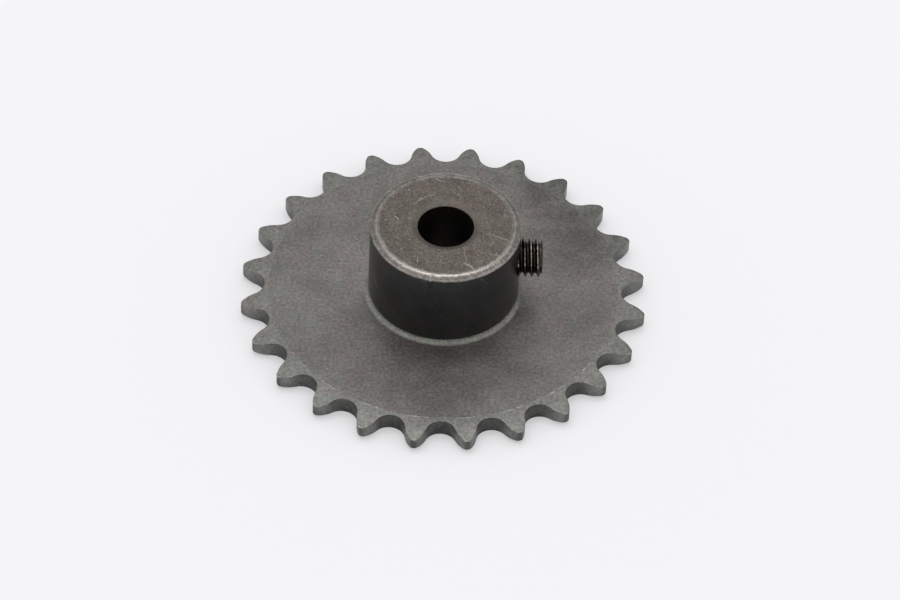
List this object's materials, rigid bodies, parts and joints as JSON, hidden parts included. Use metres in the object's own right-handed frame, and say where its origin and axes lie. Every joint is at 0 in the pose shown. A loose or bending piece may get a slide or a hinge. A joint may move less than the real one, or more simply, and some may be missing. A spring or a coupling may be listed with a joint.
{
  "type": "chain sprocket",
  "caption": "Small steel roller-chain sprocket: a flat toothed plate with a cylindrical hub standing on it, a plain through bore and a set screw in the hub wall.",
  "frame": {"origin": "on the bore axis, in the plate's back face", "axes": "+Z along the bore axis from the back face to the hub's end, +X along the set screw away from the bore"},
  "size_m": [0.0506, 0.0506, 0.0137],
  "materials": {
    "sprocket_steel": "dark blasted and turned steel, unplated",
    "screw_steel": "black oxide alloy steel"
  },
  "bodies": {
    "root": {"sprocket": "sprocket_steel", "set_screw": "screw_steel"}
  },
  "joints": []
}
